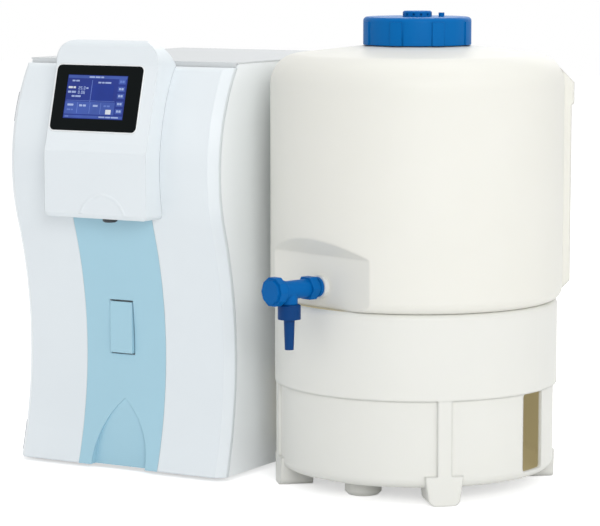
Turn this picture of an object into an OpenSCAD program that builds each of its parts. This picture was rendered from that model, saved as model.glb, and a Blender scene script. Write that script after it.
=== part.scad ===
// Bench ultrapure water system: a dispensing cabinet with a hinged S-curved front door and
// display head, and a round storage tank with a tap, a screw cap and its own stand.
// Millimetres, +Z up, front towards -Y, origin under the middle of the whole set.

/* [Cabinet] */
// Width over the side panels
body_w = 303; // [297:1:340]
// Depth from the front line to the outside of the rear panel
body_d = 395; // [380:1:440]
// Height of the top panel above the bench
body_top = 508; // [506:1:516]
// Sheet thickness of the panels
panel_t = 2; // [1.5:0.5:3]
// Height of the cabinet's rubber feet
foot_h = 5; // [4:0.5:8]
// Diameter of the cabinet's rubber feet
foot_d = 28; // [20:1:36]
// Distance of the feet from the cabinet's edges
foot_inset = 40; // [30:1:60]
// Distance of the mid plate behind the front line
mid_y = 205; // [200:1:215]

/* [Door] */
// Width of the door's front face
door_face_w = 283; // [270:1:288]
// Height of the door's top edge
door_top = 502; // [498:1:504]
// Depth of the door's rim behind its face
door_depth = 14.5; // [12:0.5:18]
// Depth at which the door's bevelled sides reach full width
bevel_depth = 9.5; // [6:0.5:11]
// Wall of the door moulding
door_wall = 3.5; // [3:0.5:4.5]
// Gap between the door and the cabinet
door_gap = 0.8; // [0.5:0.1:1.5]
// Distance of the bulge's crest in front of the front line
bulge_out = 15; // [8:1:18]
// Height of the bulge's crest
bulge_z = 375; // [370:1:385]
// Radius of the bulge
bulge_r = 240; // [230:5:270]
// Angle at which the bulge turns into the waist
turn_angle = 18.3; // [16:0.1:19]
// Radius of the waist
waist_r = 480; // [470:5:520]
// Radius of the door's top edge
door_edge_r = 9; // [4:0.5:10]
// Width of the blue inlay
inlay_w = 116; // [100:1:120]
// Thickness of the blue inlay
inlay_t = 1.8; // [1.5:0.1:2]
// Clearance round pieces that are glued or clipped in place
seat_gap = 0.2; // [0.1:0.05:0.3]

/* [Finger scoop] */
// Width of the scoop at the door's bottom edge
scoop_w = 80; // [60:1:90]
// Height of the scoop's pointed top above the bench
scoop_top = 89; // [70:1:100]
// Depth of the scoop at the door's bottom edge
scoop_depth = 11; // [6:0.5:12]
// Wall of the scoop
scoop_wall = 2; // [1.5:0.5:2.5]

/* [Display head] */
// Width of the display head
pod_w = 148; // [140:1:156]
// Height of the head's underside
pod_bottom = 319; // [312:1:325]
// Height at which the head's face turns back
pod_turn_z = 400; // [396:1:406]
// Height of the head's brow above the display face
pod_brow_z = 505; // [503:1:508]
// Height of the head's top
pod_top = 534; // [530:1:540]
// Distance of the head's lower face in front of the front line
pod_out = 46; // [42:1:50]
// Tilt of the display face
pod_tilt = 15; // [12:0.5:16]
// Wall of the head
pod_wall = 3; // [2.5:0.5:4]
// Radius of the head's top corners
pod_corner_r = 26; // [15:1:30]
// Width of the display's black frame
bezel_w = 125; // [115:1:128]
// Height of the display's black frame
bezel_h = 81; // [76:1:83]
// Sideways place of the display in the head
bezel_x = -8; // [-9:1:0]
// Width of the screen
lcd_w = 87; // [80:1:95]
// Height of the screen
lcd_h = 54; // [50:1:58]
// Sideways place of the screen in its frame
lcd_x = -2; // [-3:0.5:0]
// Height of the screen's middle above its frame's
lcd_up = 1.5; // [0:0.5:2]
// Radius of the head's bottom corners
pod_low_r = 6; // [5:0.5:10]
// Sideways place of the outlet in the head
outlet_x = 11; // [0:1:14]
// Diameter of the outlet's collar
outlet_d = 18; // [16:0.5:20]
// Bore of the outlet
outlet_bore = 8; // [6:0.5:9]
// Length of the outlet below the head
outlet_drop = 5; // [4:0.5:8]

/* [Dispense paddle] */
// Sideways place of the paddle
paddle_x = -4.5; // [-8:0.5:8]
// Width of the paddle
paddle_w = 32; // [28:1:40]
// Height of the paddle's hinge pin above the bench
paddle_pin_z = 204; // [198:1:210]
// Length of the paddle below its pin
paddle_l = 58; // [50:1:66]
// Thickness of the paddle plate
paddle_t = 2.5; // [2:0.5:3]
// Diameter of the paddle's pin
paddle_pin_d = 2.5; // [2:0.1:3]

/* [Storage tank] */
// Radius of the tank
tank_r = 176.7; // [170:0.5:182]
// Gap between the cabinet and the tank
tank_gap = 11.7; // [8:0.5:30]
// Distance of the tank's axis behind the front line
tank_y = 145; // [130:1:160]
// Height of the tank's bottom, on its stand
tank_bottom = 225; // [220:1:230]
// Height of the tank's shoulder line
tank_shoulder = 484; // [478:1:490]
// Radius of the tank's shoulder
shoulder_r = 36; // [30:1:38]
// Rise of the tank's dome above the shoulder
dome_rise = 10; // [6:0.5:12]
// Radius of the tank's bottom edge
tank_edge_r = 14; // [10:1:16]
// Wall of the tank
tank_wall = 4; // [3.5:0.5:5]
// Depth of the flat tap recess
recess_depth = 20; // [16:1:22]
// Height of the recess's roof above the bench
recess_top = 288; // [284:1:298]
// Turn of the tank's tap from straight ahead
tap_turn = 18; // [10:1:25]
// Width of the moulded grip ribs
rib_w = 14; // [10:1:18]
// Distance of the grip ribs outside the tank
rib_out = 10; // [6:0.5:12]
// Height of the lug at the top of the grip ribs
lug_h = 28; // [20:1:40]
// Distance of the lug outside its rib
lug_out = 3; // [1:0.5:4]
// Outer radius of the neck
neck_r = 56; // [52:0.5:58]
// Height of the neck
neck_h = 24; // [20:1:26]

/* [Cap] */
// Outer radius of the cap
cap_r = 66.5; // [64:0.5:70]
// Height of the cap
cap_h = 33; // [31:0.5:38]
// Number of the cap's broad grips
cap_grips = 8; // [6:1:12]
// Width of one grip
grip_w = 15; // [10:1:18]
// Clearance between the cap's skirt and the neck
thread_gap = 0.5; // [0.4:0.1:0.8]
// Radius of the air filter on the cap
vent_r = 17.5; // [15:0.5:20]
// Height of the air filter
vent_h = 7; // [5:0.5:10]

/* [Tap] */
// Height of the tap's axis above the bench
tap_z = 250.5; // [248:0.5:256]
// Diameter of the tap's body
tap_body_d = 22; // [20:0.5:24]
// Diameter of the tap's threaded shank
shank_d = 19; // [17:0.5:20]
// Width across the flats of the tap's nuts
nut_af = 26; // [24:0.5:28]
// Distance of the tap's outlet from the tank's wall
spout_y = 50.5; // [48:0.5:54]
// Diameter of the outlet's collar
collar_d = 27; // [25:0.5:29]
// Height of the outlet's collar
collar_h = 17.5; // [15:0.5:19]
// Length of the outlet's tube
spout_l = 36; // [30:1:44]
// Diameter of the outlet's tube at its top
spout_d = 13; // [12:0.5:14]
// Bore of the outlet's tube
spout_bore = 6; // [5:0.5:7]
// Diameter of the tap's turning knob
knob_d = 35; // [32:0.5:38]
// Length of the tap's turning knob
knob_l = 13; // [12:0.5:18]
// Diameter of the spindle that the knob turns on
spindle_d = 8; // [6:0.5:9]

/* [Stand] */
// Radius of the stand's upper band
stand_r = 171.3; // [165:0.5:174]
// Set-back of the stand's lower part
stand_step = 4; // [3:0.5:6]
// Height of the step between band and lower part
step_z = 124; // [116:1:130]
// Height of the stand's floor above the bench
stand_floor = 20; // [16:1:24]
// Wall of the stand
stand_wall = 5; // [4:0.5:6]
// Radius of the stand's bottom edge
stand_edge_r = 12; // [8:1:14]
// Turn of the stand about the tank's axis
stand_turn = 6; // [0:1:10]
// Width of the outer feet
stand_foot_w = 46; // [36:1:50]
// Diameter of the two inner feet
inner_foot_d = 44; // [36:1:48]
// Distance of the inner feet from the axis
inner_foot_at = 112; // [105:1:116]
// Width of the stand's ribs
stand_rib_w = 17; // [12:1:22]
// Width of the stand's windows
window_w = 42; // [36:1:48]
// Height of the stand's windows
window_h = 93; // [80:1:94]

/* [Cartridges] */
// Diameter of the two filter cartridges
cart_d = 84; // [76:1:88]
// Length of the two filter cartridges
cart_l = 300; // [260:1:310]
// Diameter of the membrane housing
ro_d = 60; // [56:1:66]
// Length of the membrane housing
ro_l = 320; // [280:1:330]
// Distance between the centres of the housings
cart_pitch = 92; // [90:1:94]
// Distance of the housings behind the front line
cart_y = 128; // [124:1:134]
// Diameter of the lamp chamber
uv_d = 38; // [32:1:42]
// Length of the lamp chamber
uv_l = 230; // [200:1:240]

/* [Rear fittings] */
// Radius of the water ports' tube bore, for 1/4 inch tube
port_bore_r = 3.2; // [3.1:0.05:3.3]
// Outer diameter of the water ports
port_d = 15; // [14:0.5:18]
// Length of the water ports outside the rear panel
port_out = 12; // [10:0.5:16]
// Distance between the water ports
port_pitch = 32; // [26:1:36]
// Height of the water ports
port_z = 70; // [60:1:90]
// Diameter of the fan
fan_d = 74; // [66:1:76]
// Clearance of the fan's blades in their ring
blade_gap = 1.5; // [1:0.1:2.5]

/* [Hidden] */
$fn = 96;
sweep_fn = 240;

// The door's S-curve is two arcs, a bulge whose axis lies behind the face and a waist whose axis
// lies in front of it. They meet where both stand at turn_angle. Depth is measured into the door.
bulge_cy = bulge_r - bulge_out;
waist_cy = bulge_cy - (bulge_r + waist_r) * cos(turn_angle);
waist_cz = bulge_z - (bulge_r + waist_r) * sin(turn_angle);
function join_z(depth) = bulge_z - (bulge_r - depth) * sin(turn_angle);
function bulge_y(z, depth) = bulge_cy - sqrt(pow(bulge_r - depth, 2) - pow(z - bulge_z, 2));
function waist_y(z, depth) = waist_cy + sqrt(pow(waist_r + depth, 2) - pow(z - waist_cz, 2));
function curve_y(z, depth = 0) = z >= join_z(depth) ? bulge_y(z, depth) : waist_y(z, depth);

half_w = body_w / 2;
in_w = body_w - 2 * panel_t;
in_half = in_w / 2;
tray_top = foot_h + panel_t;
lid_z = body_top - panel_t;
rear_in = body_d - panel_t;
frame_depth = door_depth + door_gap;
tray_front = curve_y(foot_h + 20, frame_depth);
lid_front = curve_y(door_top, frame_depth);
far = 60;

// Strap hinges on the left side: their axis lies this far outside the side panel
hinge_out = 4;
hinge_d = 7;

// Whole set, for the origin under its middle
tank_x = half_w + tank_gap + tank_r;
tap_wall = tank_r - recess_depth;
tap_reach = tap_wall + spout_y + collar_d / 2 + 4 + knob_l;
set_x0 = -half_w - hinge_out - hinge_d / 2;
set_x1 = tank_x + tank_r;
set_y0 = tank_y - tap_reach * cos(tap_turn) - (knob_d / 2 - 3) * sin(tap_turn);
set_y1 = body_d + port_out;
unit_x = -(set_x0 + set_x1) / 2;
unit_y = -(set_y0 + set_y1) / 2;

module at_unit() {
    translate([unit_x, unit_y, 0]) children();
}

module at_tank() {
    translate([unit_x + tank_x, unit_y + tank_y, 0]) children();
}

// Tank frame turned so that -Y points along the tap
module at_tap() {
    at_tank() rotate([0, 0, -tap_turn]) children();
}

// Extrudes an outline drawn in Y and Z along X, on both sides of the middle
module along_x(w) {
    rotate([90, 0, 90]) linear_extrude(w, center = true) children();
}

// Extrudes an outline drawn in X and Z from y0 to y1
module along_y(y0, y1) {
    translate([0, y1, 0]) rotate([90, 0, 0]) linear_extrude(y1 - y0) children();
}

module rounded(w, h, r) {
    for (sx = [-1, 1], sy = [-1, 1]) {
        translate([sx * (w / 2 - r), sy * (h / 2 - r)]) circle(r, $fn = 32);
    }
    square([w - 2 * r, h], center = true);
    square([w, h - 2 * r], center = true);
}

// Outline in Y and Z of all that lies behind the S-curve at one depth
module behind(depth, y1, z0, z1) {
    zj = join_z(depth);
    y0 = min(curve_y(bulge_z, depth), curve_y(z0, depth)) - 1;
    intersection() {
        translate([bulge_cy, bulge_z]) circle(bulge_r - depth, $fn = sweep_fn);
        translate([y0, zj]) square([bulge_cy - y0, z1 - zj]);
    }
    if (y1 > bulge_cy) {
        translate([bulge_cy, zj]) square([y1 - bulge_cy, z1 - zj]);
    }
    difference() {
        translate([y0, z0]) square([max(y1, bulge_cy) - y0, zj - z0]);
        translate([waist_cy, waist_cz]) circle(waist_r + depth, $fn = sweep_fn);
    }
}

// Sweeps an outline, drawn as depth by width, along the S-curve. The waist's arc is moved up along
// the tangent by a hair, so that the two arcs lap where they join and make one solid
join_lap = 0.02;
module s_sweep() {
    up = asin((door_top + 4 - bulge_z) / (bulge_r - door_depth - 4));
    down = asin((waist_cz - foot_h + 4) / waist_r);
    lap = join_lap * [0, sin(turn_angle), cos(turn_angle)];
    translate([0, bulge_cy, bulge_z]) rotate([0, 90, 0]) rotate([0, 0, turn_angle - 90])
        rotate_extrude(angle = -up - turn_angle, $fn = sweep_fn)
            translate([bulge_r, 0]) mirror([1, 0]) children();
    translate([0, waist_cy, waist_cz] + lap) rotate([0, 90, 0]) rotate([0, 0, turn_angle + 90])
        rotate_extrude(angle = -down - turn_angle, $fn = sweep_fn)
            translate([waist_r, 0]) children();
}

module z_slab(z0, z1) {
    translate([-half_w - far, -far, z0]) cube([body_w + 2 * far, 4 * far, z1 - z0]);
}

// ---- Cabinet ----

module base_tray() {
    color("silver") at_unit() {
        translate([-in_half, tray_front, foot_h])
            cube([in_w, rear_in - tray_front, panel_t]);
        for (s = [-1, 1]) {
            translate([s > 0 ? in_half - panel_t : -in_half, tray_front, tray_top])
                cube([panel_t, rear_in - tray_front, 20]);
        }
        translate([-in_half + panel_t, rear_in - panel_t, tray_top])
            cube([in_w - 2 * panel_t, panel_t, 20]);
    }
}

module cabinet_feet() {
    color("dimgray") at_unit() {
        for (sx = [-1, 1], y = [tray_front + foot_inset, body_d - foot_inset]) {
            translate([sx * (half_w - foot_inset), y, 0])
                cylinder(h = foot_h, d1 = foot_d - 3, d2 = foot_d);
        }
    }
}

module side_panel() {
    rotate([90, 0, 90]) linear_extrude(panel_t) behind(frame_depth, body_d, foot_h, lid_z);
}

module side_panel_left() {
    color("gainsboro") at_unit() translate([-half_w, 0, 0]) side_panel();
}

module side_panel_right() {
    color("gainsboro") at_unit() translate([half_w - panel_t, 0, 0]) side_panel();
}

module top_panel() {
    color("whitesmoke") at_unit() {
        translate([-half_w, lid_front, lid_z]) cube([body_w, body_d - lid_front, panel_t]);
        translate([-in_half, lid_front, lid_z - 12]) cube([in_w, panel_t, 12]);
    }
}

module vent_slots() {
    for (i = [-4:4]) {
        translate([i * 11, 0]) rounded(5, 60, 2.4);
    }
}

module rear_panel() {
    color("gainsboro") at_unit() difference() {
        translate([-in_half, rear_in, foot_h]) cube([in_w, panel_t, lid_z - foot_h]);
        along_y(rear_in - 1, body_d + 1) {
            translate([-60, fan_z]) circle(d = fan_d);
            translate([75, fan_z]) vent_slots();
            translate([inlet_x, inlet_z]) square([inlet_w, inlet_h], center = true);
            translate([switch_x, inlet_z]) square([switch_w, switch_h], center = true);
            for (i = [0:3]) {
                translate([port_x(i), port_z]) circle(d = port_thread_d + 2 * seat_gap);
            }
        }
    }
}

module mid_plate() {
    color("silver") at_unit() difference() {
        translate([panel_t - in_half, mid_y, tray_top])
            cube([in_w - 2 * panel_t, panel_t, lid_z - tray_top]);
        along_y(mid_y - 1, mid_y + panel_t + 1) {
            for (sx = [-1, 1]) {
                translate([sx * 125, 380]) rounded(24, 40, 6);
            }
        }
    }
}

// ---- Door ----

// Inside of the bevelled plan, one wall in from it
bevel_w = (body_w - door_face_w) / 2;
bevel_l = norm([bevel_w, bevel_depth]);
bevel_in = door_wall * bevel_depth / bevel_l;
bevel_back = door_wall * bevel_w / bevel_l;
inner_face = door_face_w / 2 - bevel_in + (door_wall - bevel_back) * bevel_w / bevel_depth;
inner_bevel = (bevel_w - door_wall + bevel_in) * bevel_depth / bevel_w + bevel_back;
inner_half = half_w - door_wall;
inlay_top = pod_bottom + 6;

module door_plan() {
    polygon([
        [0, -door_face_w / 2], [bevel_depth, -half_w], [door_depth, -half_w],
        [door_depth, half_w], [bevel_depth, half_w], [0, door_face_w / 2]
    ]);
}

module door_plan_inside() {
    polygon([
        [door_wall, -inner_face], [inner_bevel, -inner_half], [door_depth + 1, -inner_half],
        [door_depth + 1, inner_half], [inner_bevel, inner_half], [door_wall, inner_face]
    ]);
}

// Corner in front of the door's rounded top edge, drawn in Y and Z
edge_cz = door_top - door_edge_r;
edge_cy = bulge_y(edge_cz, door_edge_r);
edge_lean = asin((edge_cz - bulge_z) / (bulge_r - door_edge_r));
module top_corner(gap) {
    r = door_edge_r + gap;
    difference() {
        polygon([
            [edge_cy, edge_cz],
            [edge_cy - (r + 4) * cos(edge_lean), edge_cz + (r + 4) * sin(edge_lean)],
            [edge_cy - r - 4, edge_cz + r + 4], [edge_cy, edge_cz + r + 4]
        ]);
        translate([edge_cy, edge_cz]) circle(r);
    }
}

// Pointed arch of the finger scoop, drawn in X and Z
scoop_high = scoop_top - foot_h;
scoop_arc_at = (pow(scoop_high, 2) - pow(scoop_w / 2, 2)) / scoop_w;
scoop_arc_r = scoop_arc_at + scoop_w / 2;
scoop_low_y = curve_y(foot_h) + scoop_depth;
scoop_high_y = curve_y(scoop_top) + 0.5;
module scoop(grow, back) {
    slope = (scoop_high_y - scoop_low_y) / scoop_high;
    intersection() {
        along_y(-far, far) intersection() {
            translate([-scoop_arc_at, foot_h]) circle(scoop_arc_r + grow, $fn = 160);
            translate([scoop_arc_at, foot_h]) circle(scoop_arc_r + grow, $fn = 160);
            translate([-scoop_w, foot_h - 2]) square([2 * scoop_w, scoop_high + 40]);
        }
        along_x(2 * scoop_w) polygon([
            [-far, foot_h - 2], [scoop_low_y + back - 2 * slope, foot_h - 2],
            [scoop_high_y + back + 20 * slope, scoop_top + 20], [-far, scoop_top + 20]
        ]);
    }
}

// Pocket that the paddle swings in
paddle_top = paddle_pin_z + 6;
paddle_low = paddle_pin_z - paddle_l;
paddle_front = min(curve_y(paddle_top), curve_y(paddle_low)) - 0.9;
paddle_depth = 8;
paddle_pin_y = paddle_front + 5;
paddle_swing = 4;
pocket_w = paddle_w + 2;
pocket_back = paddle_front + paddle_depth + paddle_l * sin(paddle_swing) + 1;
pocket_wall = 2.2;
module paddle_pocket(grow) {
    translate([paddle_x - pocket_w / 2 - grow, paddle_front - 1, paddle_low - 2 - grow])
        cube([pocket_w + 2 * grow, pocket_back - paddle_front + 1 + grow,
            paddle_top - paddle_low + 4 + 2 * grow]);
}

// Holes for the hose and the cable that go from the door into the head
hose_hole_d = 12;
hose_hole_z = pod_bottom + 110;
module door_shell() {
    color("whitesmoke") at_unit() difference() {
        union() {
            difference() {
                intersection() {
                    s_sweep() door_plan();
                    z_slab(foot_h, door_top);
                }
                along_x(body_w + 2) top_corner(0);
                intersection() {
                    s_sweep() door_plan_inside();
                    z_slab(foot_h + door_wall, door_top - door_wall);
                }
            }
            intersection() {
                paddle_pocket(pocket_wall);
                along_x(body_w) behind(door_wall / 2, far, foot_h, door_top);
            }
        }
        intersection() {
            s_sweep() translate([-1, -inlay_w / 2 - seat_gap])
                square([1 + inlay_t + seat_gap, inlay_w + 2 * seat_gap]);
            z_slab(0, inlay_top + seat_gap);
        }
        scoop(scoop_wall + seat_gap, far);
        paddle_pocket(0);
        translate([paddle_x, paddle_pin_y, paddle_pin_z]) rotate([0, 90, 0])
            cylinder(h = paddle_pin_l, d = paddle_pin_d + 0.1, center = true);
        for (s = [-1, 1]) {
            translate([outlet_x + s * hose_hole_d, 0, hose_hole_z]) rotate([90, 0, 0])
                cylinder(h = 2 * far, d = hose_hole_d, center = true);
        }
    }
}

module door_inlay() {
    color("lightblue") at_unit() difference() {
        union() {
            intersection() {
                s_sweep() translate([0, -inlay_w / 2]) square([inlay_t, inlay_w]);
                z_slab(foot_h, inlay_top);
            }
            intersection() {
                scoop(scoop_wall, scoop_wall);
                along_x(body_w) behind(0.01, far, foot_h, door_top);
                z_slab(foot_h, scoop_top + 10);
            }
        }
        scoop(0, 0);
        paddle_pocket(0.3);
    }
}

module door_strike() {
    color("silver") at_unit() intersection() {
        translate([catch_x, -far, catch_z - 10]) cube([catch_w, 2 * far, 20]);
        along_x(body_w) difference() {
            behind(door_wall + seat_gap, far, catch_z - 20, catch_z + 20);
            behind(door_depth, far + 1, catch_z - 21, catch_z + 21);
        }
    }
}

module door_catch() {
    color("dimgray") at_unit() intersection() {
        translate([catch_x, -far, catch_z - 9]) cube([in_half - catch_x, 2 * far, 18]);
        along_x(body_w) difference() {
            behind(frame_depth, far, catch_z - 20, catch_z + 20);
            behind(frame_depth + 25, far + 1, catch_z - 21, catch_z + 21);
        }
    }
}

// Strap hinges on the left side, with their axis outside and behind the door's rim, so that no
// part of the rim swings into the side panel
hinge_pin_d = 3;
hinge_h = 36;
hinge_zs = [12, 430];
hinge_y = waist_cy + waist_r + door_depth + 1.5;
strap_t = 1.2;
strap_gap = 0.4;
knuckle_h = 9;
leaf_l = 24;
catch_z = 450;
catch_w = 20;
catch_x = min(inner_face, inner_half) - catch_w - 1;

module at_hinges() {
    at_unit() for (z = hinge_zs) {
        translate([-half_w - hinge_out, hinge_y, z]) children();
    }
}

module hinge_frame_leaves() {
    color("silver") at_hinges() difference() {
        union() {
            translate([hinge_out - strap_t, hinge_d / 2 + 1, 0]) cube([strap_t, leaf_l, hinge_h]);
            for (z = [0, hinge_h - knuckle_h]) {
                translate([0, 0, z]) {
                    cylinder(h = knuckle_h, d = hinge_d);
                    translate([hinge_out - strap_t, 0, 0]) cube([strap_t, hinge_d / 2 + 2, knuckle_h]);
                }
            }
        }
        translate([0, 0, -1]) cylinder(h = hinge_h + 2, d = hinge_pin_d + 0.1);
    }
}

module hinge_pins() {
    color("gray") at_hinges() {
        cylinder(h = hinge_h, d = hinge_pin_d);
        translate([0, 0, hinge_h]) cylinder(h = 1.2, d = hinge_d - 1);
    }
}

module hinge_door_leaves() {
    color("silver") at_unit() for (z = hinge_zs) {
        rim = max(curve_y(z, bevel_depth), curve_y(z + hinge_h, bevel_depth)) + 2;
        difference() {
            union() {
                translate([-half_w - hinge_out, hinge_y, z + knuckle_h + 0.3])
                    cylinder(h = hinge_h - 2 * knuckle_h - 0.6, d = hinge_d);
                translate([-half_w - strap_gap - strap_t, hinge_y - hinge_d / 2 - 2, z + knuckle_h + 0.3])
                    cube([strap_t, hinge_d / 2 + 2, hinge_h - 2 * knuckle_h - 0.6]);
                translate([-half_w - strap_gap - strap_t, rim, z])
                    cube([strap_t, hinge_y - hinge_d / 2 - 1 - rim, hinge_h]);
                intersection() {
                    translate([-half_w - strap_gap - strap_t / 2, -far, z])
                        cube([strap_gap + strap_t / 2, 3 * far, hinge_h]);
                    along_x(2 * body_w) difference() {
                        behind(bevel_depth + 0.3, 2 * far, z - 1, z + hinge_h + 1);
                        behind(door_depth, 2 * far + 1, z - 2, z + hinge_h + 2);
                    }
                }
            }
            translate([-half_w - hinge_out, hinge_y, z]) cylinder(h = hinge_h, d = hinge_pin_d + 0.1);
        }
    }
}

// ---- Display head ----

// Its side outline is a polygon, and its hollow is the same polygon moved in by the wall
function unit(v) = v / norm(v);
function left(v) = [-v[1], v[0]];
function miter(n, m) = (n + m) / (1 + n * m);
function inset(p, d) = let (n = len(p)) [
    for (i = [0:n - 1])
        p[i] + d * miter(left(unit(p[i] - p[(i + n - 1) % n])), left(unit(p[(i + 1) % n] - p[i])))
];

chamfer_rise = 11;
face_low_y = 4 - pod_out;
face_low_z = pod_turn_z + chamfer_rise;
brow_y = face_low_y + (pod_brow_z - face_low_z) * tan(pod_tilt);
crest_r = 10;
crest_y = brow_y + 10.5;
crest_z = pod_top - crest_r;
pod_rear = curve_y(door_top) + 2;
pod_side = concat(
    [[-pod_out + 3, pod_bottom], [pod_rear, pod_bottom], [pod_rear, door_top + 2]],
    [for (a = [36:18:162]) [crest_y + crest_r * cos(a), crest_z + crest_r * sin(a)]],
    [[brow_y, pod_brow_z], [face_low_y, face_low_z], [-pod_out, pod_turn_z], [-pod_out, pod_bottom + 5]]
);

// Front outline in X and Z with round corners, g in from the outside
module pod_front(g) {
    w = pod_w - 2 * g;
    r = pod_corner_r - g;
    low_r = pod_low_r - g;
    for (s = [-1, 1]) {
        translate([s * (w / 2 - r), pod_top - g - r]) circle(r);
        translate([s * (w / 2 - low_r), pod_bottom + g + low_r]) circle(low_r, $fn = 48);
    }
    translate([-w / 2, pod_bottom + g + low_r]) square([w, pod_top - pod_bottom - 2 * g - r - low_r]);
    translate([r - w / 2, pod_bottom + g]) square([w - 2 * r, pod_top - pod_bottom - 2 * g]);
    translate([low_r - w / 2, pod_bottom + g]) square([w - 2 * low_r, r + low_r]);
}

// Shallow lip relief on the face above the outlet
lip_r = 33;
lip_bead = 4;
lip_rise = 0.7;
module lip() {
    translate([outlet_x, lip_bead - lip_rise - pod_out, pod_bottom - 4]) rotate([90, 0, 0])
        rotate_extrude(angle = 180) translate([lip_r, 0]) circle(lip_bead, $fn = 48);
}

module pod_shell() {
    color("whitesmoke") at_unit() difference() {
        union() {
            intersection() {
                along_x(pod_w) polygon(pod_side);
                along_y(-far, far) pod_front(0);
            }
            intersection() {
                lip();
                translate([-half_w, -far, pod_bottom + 5.5])
                    cube([body_w, far + pod_wall / 2 - pod_out, lip_r + 9]);
            }
        }
        intersection() {
            along_x(pod_w - 2 * pod_wall) polygon(concat(
                [[pod_rear + far, pod_bottom + pod_wall], [pod_rear + far, door_top + 2]],
                [for (i = [2:len(pod_side) - 1]) inset(pod_side, pod_wall)[i]],
                [[3 + pod_wall - pod_out, pod_bottom + pod_wall]]
            ));
            along_y(-far, far) pod_front(pod_wall);
        }
        along_x(body_w) difference() {
            behind(-seat_gap, far + 1, foot_h, door_top + seat_gap);
            top_corner(seat_gap);
        }
        on_display() {
            translate([0, 0, -bezel_sink]) linear_extrude(far)
                rounded(bezel_w + 2 * seat_gap, bezel_h + 2 * seat_gap, bezel_corner_r + seat_gap);
            translate([lcd_x, lcd_up, -far / 2]) linear_extrude(far)
                square([module_w + 2, module_h + 2], center = true);
        }
        translate([outlet_x, outlet_y, pod_bottom - 5]) cylinder(h = 20, d = outlet_stem_d + 2 * seat_gap);
    }
}

// Frame on the display face: X across, Y up the face, Z out of it
bezel_margin = 2;
bezel_sink = 1.5;
bezel_t = 2;
bezel_corner_r = 6;
module_w = lcd_w + 10;
module_h = lcd_h + 8;
module_t = 6.5;
module on_display() {
    translate([bezel_x, brow_y, pod_brow_z]) rotate([90 - pod_tilt, 0, 0])
        translate([0, -bezel_h / 2 - bezel_margin, 0]) children();
}

module display_bezel() {
    color("black") at_unit() on_display() translate([0, 0, -bezel_sink]) linear_extrude(bezel_t)
        difference() {
            rounded(bezel_w, bezel_h, bezel_corner_r);
            translate([lcd_x, lcd_up]) square([lcd_w + 2 * seat_gap, lcd_h + 2 * seat_gap], center = true);
        }
}

module display_screen() {
    color("royalblue") at_unit() on_display() translate([lcd_x, lcd_up, 0]) {
        translate([-module_w / 2, -module_h / 2, -bezel_sink - module_t])
            cube([module_w, module_h, module_t]);
        translate([-lcd_w / 2, -lcd_h / 2, -bezel_sink - 0.5]) cube([lcd_w, lcd_h, bezel_t]);
    }
}

module display_board() {
    board_t = 1.6;
    color("seagreen") at_unit() on_display() translate([lcd_x, lcd_up, -bezel_sink - module_t]) {
        translate([-module_w / 2 - 3, -module_h / 2 - 2, -board_t])
            cube([module_w + 6, module_h + 4, board_t]);
        translate([-30, -12, -board_t - 2]) cube([22, 22, 2.1]);
        translate([10, 8, -board_t - 4]) cube([30, 9, 4.1]);
        for (i = [0:3]) {
            translate([-2 + 11 * i, -20, -board_t - 3]) cylinder(h = 3.1, d = 7, $fn = 32);
        }
    }
}

// The outlet's stem goes through the head's floor and carries the point-of-use filter
outlet_y = -(pod_out - pod_wall + bulge_out) / 2;
outlet_stem_d = outlet_bore + 5;
outlet_stem_h = 20;
outlet_lip = 1.5;
filter_d = pod_out - pod_wall - bulge_out - 4;
filter_cone = 5;
filter_l = 34;
module outlet_nozzle() {
    color("dimgray") at_unit() translate([outlet_x, outlet_y, pod_bottom]) difference() {
        union() {
            translate([0, 0, -outlet_drop])
                cylinder(h = outlet_lip, d1 = outlet_d - 3 * outlet_lip, d2 = outlet_d);
            translate([0, 0, outlet_lip - outlet_drop]) cylinder(h = outlet_drop - outlet_lip, d = outlet_d);
            translate([0, 0, -1]) cylinder(h = outlet_stem_h + 1, d = outlet_stem_d);
            translate([0, 0, pod_wall]) cylinder(h = 3, d = outlet_d);
        }
        translate([0, 0, -outlet_drop - 1]) cylinder(h = outlet_drop + outlet_stem_h + 2, d = outlet_bore);
    }
}

module final_filter() {
    neck_d = outlet_stem_d - 3;
    color("white") at_unit() translate([outlet_x, outlet_y, pod_bottom + outlet_stem_h]) {
        cylinder(h = filter_cone + 3, d = neck_d);
        translate([0, 0, filter_cone + 3]) {
            cylinder(h = filter_cone, d1 = outlet_stem_d + 1, d2 = filter_d);
            translate([0, 0, filter_cone]) cylinder(h = filter_l, d = filter_d);
            translate([0, 0, filter_cone + filter_l])
                cylinder(h = filter_cone, d1 = filter_d, d2 = outlet_stem_d + 1);
            translate([0, 0, 2 * filter_cone + filter_l]) cylinder(h = 8, d = neck_d - 2);
        }
    }
}

// ---- Paddle ----

paddle_pin_l = pocket_w + 2 * pocket_wall - 1;
module paddle() {
    skirt = 2;
    color("lightblue") at_unit() translate([paddle_x, 0, 0]) difference() {
        translate([-paddle_w / 2, paddle_front, paddle_low])
            cube([paddle_w, paddle_depth, paddle_top - paddle_low]);
        translate([-paddle_w / 2 + skirt, paddle_front + paddle_t, paddle_low + skirt])
            cube([paddle_w - 2 * skirt, paddle_depth, paddle_top - paddle_low]);
        translate([0, paddle_pin_y, paddle_pin_z]) rotate([0, 90, 0])
            cylinder(h = paddle_w + 2, d = paddle_pin_d + 0.1, center = true);
    }
}

module paddle_pin() {
    color("silver") at_unit() translate([paddle_x, paddle_pin_y, paddle_pin_z]) rotate([0, 90, 0])
        cylinder(h = paddle_pin_l, d = paddle_pin_d, center = true);
}

// ---- Inside the cabinet ----

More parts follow.
